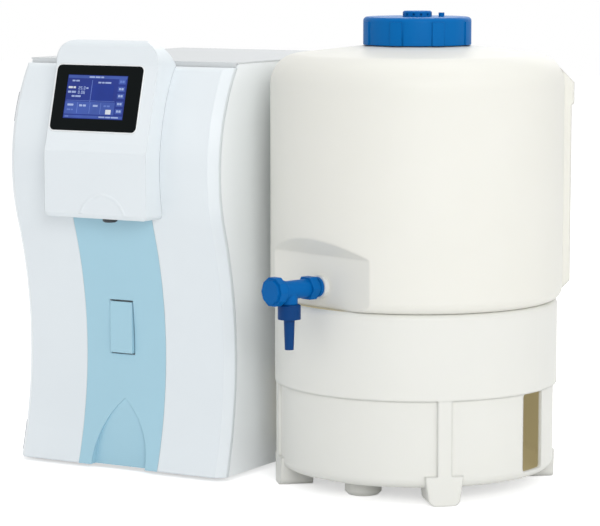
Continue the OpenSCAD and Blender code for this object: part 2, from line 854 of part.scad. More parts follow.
head_h = 18;
module cartridge(d, l, port_at) {
    rotate_extrude() polygon([
        [0, 0], [d / 2 - 6, 0], [d / 2, 6], [d / 2, l - head_h - 4], [d / 2 - 3, l - head_h - 2],
        [d / 2 - 3, l - head_h], [d / 2, l - head_h], [d / 2, l - 5], [d / 2 - 5, l], [0, l]
    ]);
    for (s = [-1, 1]) {
        translate([s * port_at, 0, l]) cylinder(h = tube_port_h, d = 12);
    }
}

tube_port_h = 15;
tube_d = 6.35;
cart_port = 22;
ro_port = 14;
module pretreat_cartridge() {
    color("white") at_unit() translate([-cart_pitch, cart_y, tray_top]) cartridge(cart_d, cart_l, cart_port);
}

module membrane_housing() {
    color("white") at_unit() translate([0, cart_y, tray_top]) cartridge(ro_d, ro_l, ro_port);
}

module polish_cartridge() {
    color("white") at_unit() translate([cart_pitch, cart_y, tray_top]) cartridge(cart_d, cart_l, cart_port);
}

// Spring clip round one housing, open to the front, with its web on the mid plate
module clip(d, h) {
    difference() {
        union() {
            cylinder(h = h, d = d + 6);
            translate([-10, 0, 0]) cube([20, mid_y - cart_y, h]);
        }
        translate([0, 0, -1]) cylinder(h = h + 2, d = d + 0.6);
        translate([-d, -2 * d - d / 4, -1]) cube([2 * d, 2 * d, h + 2]);
    }
}

clip_h = 16;
clip_zs = [cart_l / 5 + 10, cart_l * 0.7 + 10];
module cartridge_clips() {
    color("silver") at_unit() for (z = clip_zs) {
        for (s = [-1, 1]) {
            translate([s * cart_pitch, cart_y, z]) clip(cart_d, clip_h);
        }
        translate([0, cart_y, z + 1.5 * clip_h]) clip(ro_d, clip_h);
    }
}

uv_y = 165;
uv_z = 420;
module uv_chamber() {
    color("silver") at_unit() translate([0, uv_y, uv_z]) {
        rotate([0, 90, 0]) {
            cylinder(h = uv_l, d = uv_d, center = true);
            cylinder(h = uv_l + 20, d = uv_d - 8, center = true);
            cylinder(h = uv_l + 34, d = 14, center = true);
        }
        for (s = [-1, 1]) {
            translate([s * (uv_l / 2 - 18), 0, -uv_d / 2 - 14]) cylinder(h = uv_d / 2, d = 12);
        }
    }
}

module uv_clips() {
    color("gray") at_unit() for (s = [-1, 1]) {
        translate([s * 55, uv_y, uv_z]) rotate([0, 90, 0]) difference() {
            union() {
                cylinder(h = 14, d = uv_d + 6, center = true);
                translate([-12, 0, -7]) cube([24, mid_y - uv_y, 14]);
            }
            cylinder(h = 16, d = uv_d + 0.6, center = true);
        }
    }
}

valve_x = -118;
valve_z = 470;
valve_w = 30;
valve_h = 28;
valve_stub = 12;
module dispense_valve() {
    color("dimgray") at_unit() translate([valve_x, mid_y, valve_z]) {
        translate([-valve_w / 2, -valve_w, -valve_h / 2]) cube([valve_w, valve_w, valve_h]);
        translate([0, -valve_w / 2, -valve_h / 2 - valve_stub]) cylinder(h = valve_stub, d = 12);
        translate([valve_w / 2, -valve_w / 2, 0]) rotate([0, 90, 0]) cylinder(h = 26, d = 22);
    }
}

// Square-cornered tube run: straight lengths and quarter bends, each meeting the next face to face
function step_dir(p, i) = unit(p[i + 1] - p[i]);
module tube_run(p, r) {
    n = len(p);
    for (i = [0:n - 2]) {
        d = step_dir(p, i);
        a = p[i] + (i > 0 ? r : 0) * d;
        b = p[i + 1] - (i < n - 2 ? r : 0) * d;
        translate(a) rotate([0, acos(d[2]), atan2(d[1], d[0])]) tube_ring(norm(b - a));
    }
    for (i = [1:n - 2]) {
        u = step_dir(p, i - 1);
        v = step_dir(p, i);
        c = p[i] - r * u + r * v;
        w = cross(-v, u);
        multmatrix([
            [-v[0], u[0], w[0], c[0]], [-v[1], u[1], w[1], c[1]], [-v[2], u[2], w[2], c[2]], [0, 0, 0, 1]
        ]) rotate_extrude(angle = 90, $fn = 48) translate([r, 0]) difference() {
            circle(d = tube_d, $fn = 24);
            circle(d = tube_d - 2.2, $fn = 24);
        }
    }
}

module tube_ring(l) {
    linear_extrude(l) difference() {
        circle(d = tube_d, $fn = 24);
        circle(d = tube_d - 2.2, $fn = 24);
    }
}

bend_r = 12;
tight_bend_r = 8;
cross_z = 370;
polished_z = 346;
product_z = 350;
product_y = mid_y - valve_w / 2;
cart_port_z = tray_top + cart_l + tube_port_h;
ro_port_z = tray_top + ro_l + tube_port_h;
uv_port_x = uv_l / 2 - 18;
uv_port_z = uv_z - uv_d / 2 - 14;
module tube_feed() {
    color("aliceblue") at_unit() tube_run([
        [cart_port - cart_pitch, cart_y, cart_port_z], [cart_port - cart_pitch, cart_y, cross_z],
        [-ro_port, cart_y, cross_z], [-ro_port, cart_y, ro_port_z]
    ], bend_r);
}

module tube_permeate() {
    color("aliceblue") at_unit() tube_run([
        [ro_port, cart_y, ro_port_z], [ro_port, cart_y, cross_z],
        [cart_pitch - cart_port, cart_y, cross_z], [cart_pitch - cart_port, cart_y, cart_port_z]
    ], bend_r);
}

module tube_polished() {
    color("aliceblue") at_unit() tube_run([
        [cart_pitch + cart_port, cart_y, cart_port_z], [cart_pitch + cart_port, cart_y, polished_z],
        [cart_pitch + cart_port, uv_y, polished_z], [uv_port_x, uv_y, polished_z],
        [uv_port_x, uv_y, uv_port_z]
    ], tight_bend_r);
}

module tube_product() {
    color("aliceblue") at_unit() tube_run([
        [-uv_port_x, uv_y, uv_port_z], [-uv_port_x, uv_y, product_z], [-uv_port_x, product_y, product_z],
        [valve_x, product_y, product_z], [valve_x, product_y, valve_z - valve_h / 2 - valve_stub]
    ], tight_bend_r);
}

pump_x = -60;
pump_y = 300;
pump_l = 140;
pump_base_w = 70;
pump_base_t = 6;
motor_d = 80;
motor_l = 95;
pump_head_w = 84;
pump_head_h = 80;
module booster_pump() {
    motor_z = pump_base_t + motor_d / 2 + 6;
    color("black") at_unit() translate([pump_x, pump_y, tray_top]) {
        translate([-pump_l / 2, -pump_base_w / 2, 0]) cube([pump_l, pump_base_w, pump_base_t]);
        translate([-pump_l / 2, 0, motor_z]) rotate([0, 90, 0]) cylinder(h = motor_l, d = motor_d);
        translate([motor_l - pump_l / 2, -pump_head_w / 2, motor_z - pump_head_h / 2])
            cube([pump_l - motor_l, pump_head_w, pump_head_h]);
        translate([-pump_l * 0.3, -motor_d / 4, pump_base_t / 2])
            cube([motor_d / 2, motor_d / 2, motor_d / 4]);
    }
}

supply_x = 20;
supply_z = 200;
supply_w = 110;
supply_t = 50;
supply_h = 180;
module power_supply() {
    color("silver") at_unit() translate([supply_x, mid_y + panel_t, supply_z])
        cube([supply_w, supply_t, supply_h]);
}

board_x = -135;
board_z = 190;
board_w = 120;
board_h = 160;
post_h = 8;
post_in = 8;
module control_board() {
    color("seagreen") at_unit() translate([board_x, mid_y + panel_t, board_z]) {
        for (x = [post_in, board_w - post_in], z = [post_in, board_h - post_in]) {
            translate([x, 0, z]) rotate([-90, 0, 0]) cylinder(h = post_h, d = 6, $fn = 32);
        }
        translate([0, post_h, 0]) cube([board_w, 1.6, board_h]);
        for (i = [0:3]) {
            translate([14 + i * board_w * 0.22, post_h + 1, board_h * 0.75]) cube([18, 15, 26]);
        }
        translate([board_w / 4, post_h + 1, board_h * 0.3]) cube([30, 3, 30]);
        translate([board_w * 0.62, post_h + 1, board_h / 8]) cube([30, 12, 70]);
    }
}

// ---- Rear fittings ----

inlet_x = 105;
inlet_z = 50;
inlet_w = 27.4;
inlet_h = 20.4;
switch_x = 60;
switch_w = 22;
switch_h = 30;
switch_gap = 0.4;
port_thread_d = 11;
fan_z = 300;
function port_x(i) = -110 + port_pitch * i;

module mains_inlet() {
    color("black") at_unit() translate([inlet_x, rear_in, inlet_z]) difference() {
        union() {
            translate([-inlet_w / 2 + 0.2, -18, -inlet_h / 2 + 0.2])
                cube([inlet_w - 0.4, 18 + panel_t, inlet_h - 0.4]);
            translate([-20, panel_t, -14]) cube([40, 3, 28]);
        }
        translate([-11, -14, -7.5]) cube([22, 14 + panel_t + 4, 15]);
    }
    color("silver") at_unit() translate([inlet_x, rear_in, inlet_z]) for (x = [-7, 0, 7]) {
        translate([x - 1, -16, -2]) cube([2, 14, 4]);
    }
}

switch_depth = 14;
module switch_frame() {
    color("black") at_unit() translate([switch_x, rear_in, inlet_z]) difference() {
        union() {
            translate([-switch_w / 2 + 0.2, -switch_depth, -switch_h / 2 + 0.2])
                cube([switch_w - 0.4, switch_depth + panel_t, switch_h - 0.4]);
            translate([-switch_w / 2 - 2, panel_t, -switch_h / 2 - 2]) cube([switch_w + 4, 2, switch_h + 4]);
        }
        translate([-rocker_w / 2 - switch_gap, -switch_depth + 2, -rocker_h / 2 - 1])
            cube([rocker_w + 2 * switch_gap, switch_depth + panel_t + 4, rocker_h + 2]);
        rotate([0, 90, 0]) cylinder(h = rocker_w + 4 + 0.2, d = 3.1, center = true);
    }
}

rocker_w = 16;
rocker_h = 22;
module rear_switch() {
    color("dimgray") at_unit() translate([switch_x, rear_in, inlet_z]) rotate([0, 90, 0]) {
        linear_extrude(rocker_w, center = true) polygon([
            [-rocker_h / 2 + 1, 0], [0, -6], [rocker_h / 2 - 1, 0],
            [rocker_h / 2 - 1, 7.5], [0, 5.5], [-rocker_h / 2 + 1, 5.5]
        ]);
        cylinder(h = rocker_w + 4, d = 3, center = true);
    }
}

module water_ports() {
    color("white") at_unit() for (i = [0:3]) {
        translate([port_x(i), rear_in, port_z]) rotate([-90, 0, 0]) difference() {
            union() {
                translate([0, 0, panel_t]) cylinder(h = port_out, d = port_d);
                translate([0, 0, -16]) cylinder(h = 16 + panel_t, d = port_thread_d);
                translate([0, 0, -5]) cylinder(h = 5, d = 19, $fn = 6);
            }
            translate([0, 0, -17]) cylinder(h = 40, r = port_bore_r);
        }
    }
}

fan_t = 25;
module fan_frame() {
    color("dimgray") at_unit() translate([-60, rear_in - fan_t, fan_z]) rotate([-90, 0, 0]) {
        difference() {
            linear_extrude(fan_t) difference() {
                rounded(80, 80, 5);
                circle(d = fan_d);
            }
            for (sx = [-1, 1], sy = [-1, 1]) {
                translate([sx * 35.5, sy * 35.5, -1]) cylinder(h = fan_t + 2, d = 4.3, $fn = 32);
            }
        }
        difference() {
            union() {
                cylinder(h = 3, d = 30);
                for (a = [45:90:315]) {
                    rotate([0, 0, a]) translate([14, -2, 0]) cube([fan_d / 2 - 12, 4, 3]);
                }
            }
            translate([0, 0, -1]) cylinder(h = 5, d = 4.1);
        }
    }
}

module fan_rotor() {
    color("black") at_unit() translate([-60, rear_in - fan_t, fan_z]) rotate([-90, 0, 0]) {
        translate([0, 0, 3.5]) cylinder(h = 19, d = 30);
        cylinder(h = 4, d = 4);
        for (a = [0:51.4286:350]) {
            rotate([0, 0, a]) translate([14, 0, 13]) rotate([38, 0, 0])
                translate([0, -1, -9]) cube([fan_d / 2 - 14 - blade_gap - 1, 2, 18]);
        }
    }
}

// ---- Tank ----

dome_z = tank_shoulder + shoulder_r;
tank_top = dome_z + dome_rise;

// Half section of the tank's outside, moved in by t
module tank_section(t, bore) {
    r = tank_r - t;
    e = tank_edge_r - t;
    s = shoulder_r - t;
    translate([0, tank_bottom + t]) square([r - e, e]);
    translate([r - e, tank_bottom + t + e]) circle(e);
    translate([0, tank_bottom + t + e]) square([r, tank_shoulder - tank_bottom - t - e]);
    intersection() {
        translate([r - s, tank_shoulder]) circle(s);
        translate([r - s, tank_shoulder]) square(s + 1);
    }
    polygon([[0, tank_shoulder], [r - s, tank_shoulder], [r - s, dome_z - t],
        [neck_r, tank_top - t], [0, tank_top - t]]);
}

// Flat recess for the tap, with a roof that slopes up and out, g in from its faces
module recess(g) {
    along_x(2 * tank_r) polygon([
        [-tank_r - 9, tank_bottom - 9], [g - tap_wall, tank_bottom - 9], [g - tap_wall, recess_top + g],
        [-tank_r - 9, recess_top + g + recess_depth + 9]
    ]);
}

module tank_solid(t) {
    difference() {
        rotate_extrude($fn = 160) intersection() {
            tank_section(t);
            square([tank_r + 1, body_top + 99]);
        }
        recess(t);
    }
}

// Grip rib, drawn as radius by height: its ends slope at 45 degrees into the tank's rounded edges
rib_turn = 40;
rib_sink = 0.6;
rib_top_in = shoulder_r * (1 - cos(45)) + rib_sink;
rib_low_in = tank_edge_r * (1 - cos(45)) + rib_sink;
module rib_section() {
    r = tank_r + rib_out;
    top_z = dome_z - rib_top_in - rib_out - rib_top_in;
    low_z = tank_bottom + rib_low_in + rib_out + rib_low_in;
    polygon([
        [tank_r - rib_top_in, dome_z - rib_top_in], [r + lug_out, top_z - lug_out],
        [r + lug_out, top_z - lug_h], [r, top_z - lug_h - lug_out], [r, low_z],
        [tank_r - rib_low_in, tank_bottom + rib_low_in],
        [tank_r - shoulder_r, tank_bottom + tank_edge_r + 9], [tank_r - shoulder_r, tank_shoulder]
    ]);
}

neck_wall = 3.5;
seat_r = 60;
module tank_shell() {
    color("ivory") at_tap() difference() {
        union() {
            tank_solid(0);
            translate([0, 0, tank_top - tank_wall]) cylinder(h = neck_h + tank_wall, r = neck_r);
            for (s = [-1, 1]) {
                rotate([0, 0, 180 + s * rib_turn]) rotate([90, 0, -90])
                    linear_extrude(rib_w, center = true) rib_section();
            }
        }
        difference() {
            tank_solid(tank_wall);
            translate([0, 0, tank_bottom])
                cylinder(h = spigot_h + seat_gap + tank_wall, r = seat_r + tank_wall);
        }
        translate([0, 0, tank_top - 3 * tank_wall]) cylinder(h = neck_h + 60, r = neck_r - neck_wall);
        translate([0, -tap_wall - 9, tap_z]) rotate([-90, 0, 0]) cylinder(h = 30, d = shank_d + 0.4);
        translate([0, 0, tank_bottom - 1]) cylinder(h = 1 + spigot_h + seat_gap, r = seat_r);
    }
}

// ---- Cap ----

seal_t = 2.5;
skirt_z = tank_top + 0.5;
cap_pad = 1.5;
cap_in_z = tank_top + neck_h + seal_t + 0.3;
module cap_seal() {
    color("gray") at_tap() translate([0, 0, tank_top + neck_h]) difference() {
        cylinder(h = seal_t, r = neck_r - 0.3);
        translate([0, 0, -1]) cylinder(h = seal_t + 2, r = vent_bore_r + 1);
    }
}

vent_bore_r = 6;
nub_turn = 25;
nub_at = 29;
nub_h = 5;
nub_d = 7;
module cap() {
    r = cap_r - cap_pad;
    c = 5;
    color("dodgerblue") at_tap() difference() {
        union() {
            rotate_extrude() difference() {
                union() {
                    translate([0, skirt_z]) square([r, cap_h - c]);
                    translate([0, skirt_z]) square([r - c, cap_h]);
                    translate([r - c, skirt_z + cap_h - c]) circle(c, $fn = 48);
                }
                translate([-r, skirt_z]) square([r, cap_h + 1]);
            }
            for (i = [0:cap_grips - 1]) {
                rotate([0, 0, (i + 0.5) * 360 / cap_grips]) intersection() {
                    translate([0, -grip_w / 2, skirt_z]) cube([cap_r + 1, grip_w, cap_h - c]);
                    translate([0, 0, skirt_z - 1]) cylinder(h = cap_h, r = cap_r);
                }
            }
            rotate([0, 0, tap_turn + nub_turn]) translate([nub_at, 0, skirt_z + cap_h - 1])
                cylinder(h = nub_h + 1, d = nub_d, $fn = 48);
        }
        translate([0, 0, skirt_z - 1]) cylinder(h = cap_in_z - skirt_z + 1, r = neck_r + thread_gap);
        cylinder(h = 2 * body_top, r = vent_bore_r);
    }
}

module cap_vent() {
    color("dodgerblue") at_tap() translate([0, 0, skirt_z + cap_h]) difference() {
        union() {
            cylinder(h = vent_h - 1.5, r = vent_r);
            translate([0, 0, vent_h - 1.5]) cylinder(h = 1.5, r1 = vent_r, r2 = vent_r - 1.5);
            translate([0, 0, 1 - (skirt_z + cap_h - cap_in_z)])
                cylinder(h = skirt_z + cap_h - cap_in_z, r = vent_bore_r - seat_gap);
        }
        for (a = [0:30:330]) {
            rotate([0, 0, a]) translate([vent_r - 3, -1.2, 1.5]) cube([5, 2.4, 2.5]);
        }
    }
}

// ---- Tap, along -Y from the recess wall ----

gasket_t = 6;
flange_t = 4;
hex_y = gasket_t + flange_t + 4;
hex_l = 11;
body_end = spout_y + collar_d / 2 + 3.5;
boss_drop = 16.5;
module along_tap(y0, l) {
    translate([0, -tap_wall - y0, tap_z]) rotate([90, 0, 0]) linear_extrude(l) children();
}

module tap_gasket() {
    color("whitesmoke") at_tap() along_tap(0, gasket_t) difference() {
        circle(d = nut_af + 2);
        circle(d = shank_d + 0.4);
    }
}

module tap_body() {
    color("mediumblue") at_tap() difference() {
        union() {
            along_tap(gasket_t, flange_t) circle(d = tap_body_d + 2);
            along_tap(-22, 24 + gasket_t) circle(d = shank_d);
            along_tap(gasket_t, body_end - gasket_t) circle(d = tap_body_d);
            along_tap(hex_y, hex_l) circle(d = nut_af / cos(30), $fn = 6);
            along_tap(body_end - 7, 7) circle(d = tap_body_d + 3);
            translate([0, -tap_wall - spout_y, tap_z - boss_drop]) cylinder(h = boss_drop, d = collar_d - 7);
        }
        along_tap(-23, 23 + spout_y) circle(d = 10);
        along_tap(spout_y, body_end) circle(d = spindle_d + 0.1);
        translate([0, -tap_wall - spout_y, tap_z - boss_drop - 1])
            cylinder(h = boss_drop, d = spout_bore + 1);
    }
}

module tap_back_nut() {
    color("mediumblue") at_tap() along_tap(-tank_wall - 7, 7) difference() {
        circle(d = (nut_af + 4) / cos(30), $fn = 6);
        circle(d = shank_d + 0.1);
    }
}

module tap_spout() {
    color("mediumblue") at_tap() translate([0, -tap_wall - spout_y, tap_z - boss_drop]) difference() {
        rotate_extrude() polygon([
            [0, 0], [collar_d / 2 - 1.5, 0], [collar_d / 2, -1.5], [collar_d / 2, -collar_h],
            [spout_d / 2 + 1.5, -collar_h], [spout_d / 2, -collar_h - 2],
            [spout_d / 2 - 1.2, -collar_h - spout_l], [0, -collar_h - spout_l]
        ]);
        translate([0, 0, -collar_h - spout_l - 1]) cylinder(h = collar_h + spout_l + 2, d = spout_bore);
    }
}

module tap_knob() {
    color("mediumblue") at_tap() {
        along_tap(body_end + 0.5, knob_l - 3) circle(d = knob_d, $fn = 10);
        along_tap(body_end + 0.5 + knob_l - 3, 3) circle(d = knob_d - 6, $fn = 10);
        along_tap(body_end - 12, 13) circle(d = spindle_d);
    }
}

// ---- Stand ----

spigot_h = 5;
band_edge_r = 6;
stand_foot_l = 42;
low_r = stand_r - stand_step;
module stand_section(t) {
    e = stand_edge_r - t;
    translate([0, stand_floor + t]) square([low_r - t - e, step_z - stand_floor - t]);
    translate([low_r - t - e, stand_floor + t + e]) circle(e);
    translate([0, stand_floor + t + e]) square([low_r - t, step_z - stand_floor - e]);
    translate([0, step_z + t]) square([stand_r - t, tank_bottom - band_edge_r - step_z - t]);
    translate([0, step_z + t]) square([stand_r - band_edge_r, tank_bottom - step_z - 2 * t]);
    if (t == 0) {
        translate([stand_r - band_edge_r, tank_bottom - band_edge_r]) circle(band_edge_r, $fn = 48);
    }
}

// Foot that narrows from w to w_low, with round lower corners
module foot_outline(w, w_low, h, r) {
    for (s = [-1, 1]) {
        translate([s * (w_low / 2 - r), r]) circle(r);
    }
    polygon([[r - w_low / 2, 0], [w_low / 2 - r, 0], [w_low / 2 - 0.02, r], [w / 2, h], [-w / 2, h],
        [0.02 - w_low / 2, r]]);
}

module tank_stand() {
    foot_top = stand_floor + stand_edge_r + 3;
    rib_r = stand_r - 0.6;
    color("ivory") at_tank() rotate([0, 0, -stand_turn]) difference() {
        union() {
            difference() {
                union() {
                    rotate_extrude($fn = 160) intersection() {
                        stand_section(0);
                        square([stand_r + 1, tank_bottom]);
                    }
                    for (a = [45:90:315]) {
                        rotate([0, 0, a]) intersection() {
                            cylinder(h = step_z + 2, r = rib_r);
                            union() {
                                translate([-stand_rib_w / 2, -stand_r - 1, foot_top - 4])
                                    cube([stand_rib_w, stand_step + 4, step_z - foot_top + 5]);
                                along_y(-stand_r - 1, stand_foot_l - stand_r)
                                    foot_outline(stand_foot_w, stand_foot_w - 8, foot_top, 9);
                            }
                        }
                    }
                }
                rotate_extrude($fn = 160) intersection() {
                    stand_section(stand_wall);
                    square([stand_r + 1, tank_bottom]);
                }
            }
            translate([0, 0, tank_bottom - 1]) cylinder(h = 1 + spigot_h, r = seat_r - 0.5);
            for (a = [0, 180]) {
                rotate([0, 0, a]) translate([0, -inner_foot_at, 0]) {
                    translate([0, 0, 4]) cylinder(h = stand_floor - 3, d = inner_foot_d);
                    cylinder(h = 4, d1 = inner_foot_d - 8, d2 = inner_foot_d);
                }
            }
        }
        rotate([0, 0, 90]) along_y(-stand_r - 1, stand_r + 1)
            translate([0, step_z - 1 - window_h / 2]) rounded(window_w, window_h, 4);
    }
}

base_tray();
cabinet_feet();
side_panel_left();
side_panel_right();
top_panel();
rear_panel();
mid_plate();
hinge_frame_leaves();
hinge_pins();
hinge_door_leaves();
door_catch();
door_strike();
door_shell();
door_inlay();
pod_shell();
display_bezel();
display_screen();
display_board();
outlet_nozzle();
final_filter();
paddle();
paddle_pin();
pretreat_cartridge();
membrane_housing();
polish_cartridge();
cartridge_clips();
uv_chamber();
uv_clips();
dispense_valve();
tube_feed();
tube_permeate();
tube_polished();
tube_product();
booster_pump();
power_supply();
control_board();
mains_inlet();
rear_switch();
switch_frame();
water_ports();
fan_frame();
fan_rotor();
tank_shell();
cap_seal();
cap();
cap_vent();
tap_gasket();
tap_body();
tap_back_nut();
tap_spout();
tap_knob();
tank_stand();
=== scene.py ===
"""Looks of a bench ultrapure water system: a cabinet with a hinged S-curved front, beside a
round storage tank with a tap, a screw cap and its own stand."""
import math

import bmesh
import bpy
from mathutils import Matrix, Vector


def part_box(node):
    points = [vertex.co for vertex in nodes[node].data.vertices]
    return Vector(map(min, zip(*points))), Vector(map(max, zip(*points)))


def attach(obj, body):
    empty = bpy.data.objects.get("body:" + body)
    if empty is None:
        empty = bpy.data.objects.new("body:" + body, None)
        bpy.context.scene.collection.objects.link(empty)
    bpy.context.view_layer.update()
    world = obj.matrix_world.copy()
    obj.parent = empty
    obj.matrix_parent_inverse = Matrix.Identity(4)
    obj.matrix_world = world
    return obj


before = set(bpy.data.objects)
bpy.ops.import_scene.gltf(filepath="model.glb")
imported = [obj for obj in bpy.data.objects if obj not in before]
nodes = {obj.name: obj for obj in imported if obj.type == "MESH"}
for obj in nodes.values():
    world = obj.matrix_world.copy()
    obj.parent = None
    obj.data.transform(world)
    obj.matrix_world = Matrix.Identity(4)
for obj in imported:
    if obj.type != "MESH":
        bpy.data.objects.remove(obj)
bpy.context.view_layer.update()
scene = bpy.context.scene
scene.view_settings.view_transform = "Standard"

# Origin of the cabinet's own millimetres in the shared frame's: middle of its width, front line
UNIT = (-178.8, -160.727)
# Axis of tank and stand in the shared frame, in metres
TANK_AXIS = (0.1611, -0.015727)


# ---- Camera ----

CAM_POS = (1.6416, -2.89003, 0.6551)
CAM_PITCH = 6.878
CAM_AZIMUTH = 29.749
CAM_LENS = 160.8

cam_data = bpy.data.cameras.new("camera")
cam_data.lens = CAM_LENS
cam_data.sensor_width = 36.0
cam_data.sensor_fit = "HORIZONTAL"
cam_data.clip_end = 50.0
cam = bpy.data.objects.new("camera", cam_data)
cam.location = CAM_POS
cam.rotation_euler = (math.radians(90 - CAM_PITCH), 0, math.radians(CAM_AZIMUTH))
scene.collection.objects.link(cam)
scene.camera = cam


# ---- Material helpers ----

def lin(rgb):
    """A colour written as 0 to 255 screen values, as linear light."""
    out = []
    for c in rgb:
        c = c / 255.0
        out.append(c / 12.92 if c <= 0.04045 else ((c + 0.055) / 1.055) ** 2.4)
    return (*out, 1.0)


class Nodes:
    """Short names for building a node tree."""

    def __init__(self, tree):
        self.tree = tree
        tree.nodes.clear()

    def add(self, kind, **values):
        node = self.tree.nodes.new(kind)
        for key, value in values.items():
            setattr(node, key, value)
        return node

    def link(self, a, b):
        self.tree.links.new(a, b)


def principled(name):
    """A new material with one Principled shader: the material, its nodes and the shader."""
    mat = bpy.data.materials.new(name)
    mat.use_nodes = True
    n = Nodes(mat.node_tree)
    out = n.add("ShaderNodeOutputMaterial")
    bsdf = n.add("ShaderNodeBsdfPrincipled")
    n.link(bsdf.outputs["BSDF"], out.inputs["Surface"])
    return mat, n, bsdf


def noise(n, vector, scale, detail):
    tex = n.add("ShaderNodeTexNoise")
    tex.inputs["Scale"].default_value = scale
    tex.inputs["Detail"].default_value = detail
    n.link(vector, tex.inputs["Vector"])
    return tex.outputs["Fac"]


def blend(n, factor, first, second):
    """Mix of two linear colours, the first at factor 0 and the second at 1."""
    mix = n.add("ShaderNodeMix", data_type="RGBA")
    mix.inputs["A"].default_value = first
    mix.inputs["B"].default_value = second
    n.link(factor, mix.inputs["Factor"])
    return mix


# The stand's inside lies within a radius of its axis and above a height. There it has painted
# shade, a darker yellow tone, and a painted glow in place of the light that comes through the
# wall: a share of that tone given off as light.
INNER_R = 0.1632
INNER_Z = 0.0232
INNER_EDGE = 0.0005
PAINTED_INSIDE_SHADE = (150, 140, 108)
PAINTED_GLOW_SHARE = 0.62


def outside_stand(n, position):
    """Mask of the painted shade and glow: 0 on the stand's inside and 1 on the rest of it."""
    flat = n.add("ShaderNodeVectorMath", operation="MULTIPLY")
    flat.inputs[1].default_value = (1, 1, 0)
    n.link(position, flat.inputs[0])
    away = n.add("ShaderNodeVectorMath", operation="DISTANCE")
    away.inputs[1].default_value = (*TANK_AXIS, 0)
    n.link(flat.outputs["Vector"], away.inputs[0])
    step = n.add("ShaderNodeMapRange")
    step.inputs["From Min"].default_value = INNER_R - INNER_EDGE
    step.inputs["From Max"].default_value = INNER_R + INNER_EDGE
    n.link(away.outputs["Value"], step.inputs["Value"])
    split = n.add("ShaderNodeSeparateXYZ")
    n.link(position, split.inputs[0])
    below = n.add("ShaderNodeMath", operation="LESS_THAN")
    below.inputs[1].default_value = INNER_Z
    n.link(split.outputs["Z"], below.inputs[0])
    outside = n.add("ShaderNodeMath", operation="MAXIMUM")
    n.link(step.outputs["Result"], outside.inputs[0])
    n.link(below.outputs[0], outside.inputs[1])
    return outside.outputs[0]


def shade(name, low, high, rough=(0.3, 0.4), grain=900.0, grain_depth=0.00002, wave=6.0,
          wave_depth=0.0, metallic=0.0, coat=0.0, coat_rough=0.15, specular=0.5, edge=0.0,
          sss=0.0, brush=None, inner=False):
    """A moulded or painted surface: colour that drifts between two near tones, roughness that
    varies with it, a fine grain, an optional slow waviness and softened edges. brush stretches
    the grain along an axis, and inner paints shade and a glow on the stand's inside."""
    mat, n, bsdf = principled(name)
    bsdf.inputs["Metallic"].default_value = metallic
    bsdf.inputs["Coat Weight"].default_value = coat
    bsdf.inputs["Coat Roughness"].default_value = coat_rough
    bsdf.inputs["Specular IOR Level"].default_value = specular
    if sss:
        bsdf.inputs["Subsurface Weight"].default_value = sss
        bsdf.inputs["Subsurface Radius"].default_value = (0.004, 0.004, 0.003)
    coord = n.add("ShaderNodeTexCoord")
    place = n.add("ShaderNodeMapping")
    if brush:
        place.inputs["Scale"].default_value = brush
    n.link(coord.outputs["Object"], place.inputs["Vector"])
    slow = noise(n, place.outputs["Vector"], wave, 3.0)
    colour = blend(n, slow, lin(low), lin(high)).outputs["Result"]
    # Painted shade and glow on the stand's inside: its darker tone, and a share of it given off
    # as light
    if inner:
        outside = outside_stand(n, coord.outputs["Object"])
        tone = lin(PAINTED_INSIDE_SHADE)
        painted_inside_colour = blend(n, outside, tone, tone)
        n.link(colour, painted_inside_colour.inputs["B"])
        colour = painted_inside_colour.outputs["Result"]
        lit = blend(n, outside, (*(c * PAINTED_GLOW_SHARE for c in tone[:3]), 1.0), (0, 0, 0, 1))
        n.link(lit.outputs["Result"], bsdf.inputs["Emission Color"])
        bsdf.inputs["Emission Strength"].default_value = 1.0
    n.link(colour, bsdf.inputs["Base Color"])
    fine = noise(n, place.outputs["Vector"], grain, 2.0)
    gloss = n.add("ShaderNodeMapRange")
    gloss.inputs["To Min"].default_value = rough[0]
    gloss.inputs["To Max"].default_value = rough[1]
    n.link(slow, gloss.inputs["Value"])
    n.link(gloss.outputs["Result"], bsdf.inputs["Roughness"])
    normal = None
    if edge:
        bevel = n.add("ShaderNodeBevel", samples=6)
        bevel.inputs["Radius"].default_value = edge
        normal = bevel.outputs["Normal"]
    for source, depth in ((slow, wave_depth), (fine, grain_depth)):
        if depth:
            bump = n.add("ShaderNodeBump")
            bump.inputs["Distance"].default_value = depth
            bump.inputs["Strength"].default_value = 1.0
            n.link(source, bump.inputs["Height"])
            if normal:
                n.link(normal, bump.inputs["Normal"])
            normal = bump.outputs["Normal"]
    if normal:
        n.link(normal, bsdf.inputs["Normal"])
    return mat


def glow(name, rgb):
    """A lit screen colour behind glass: most of its light is its own, and it drifts a little."""
    mat, n, bsdf = principled(name)
    bsdf.inputs["Base Color"].default_value = lin([c * 0.3 for c in rgb])
    bsdf.inputs["Roughness"].default_value = 0.2
    bsdf.inputs["Specular IOR Level"].default_value = 0.12
    bsdf.inputs["Emission Strength"].default_value = 0.78
    coord = n.add("ShaderNodeTexCoord")
    slow = noise(n, coord.outputs["Object"], 40.0, 2.0)
    drift = 0.12
    dim = lin([c * (1 - drift) for c in rgb])
    bright = lin([min(255, c * (1 + drift)) for c in rgb])
    tone = blend(n, slow, dim, bright)
    n.link(tone.outputs["Result"], bsdf.inputs["Emission Color"])
    return mat


# ---- Materials ----

PAINT = dict(grain=1400, edge=0.0006)
IVORY = dict(rough=(0.42, 0.54), grain=650, grain_depth=0.00005, wave=8, wave_depth=0.0005,
             specular=0.4, sss=0.06)

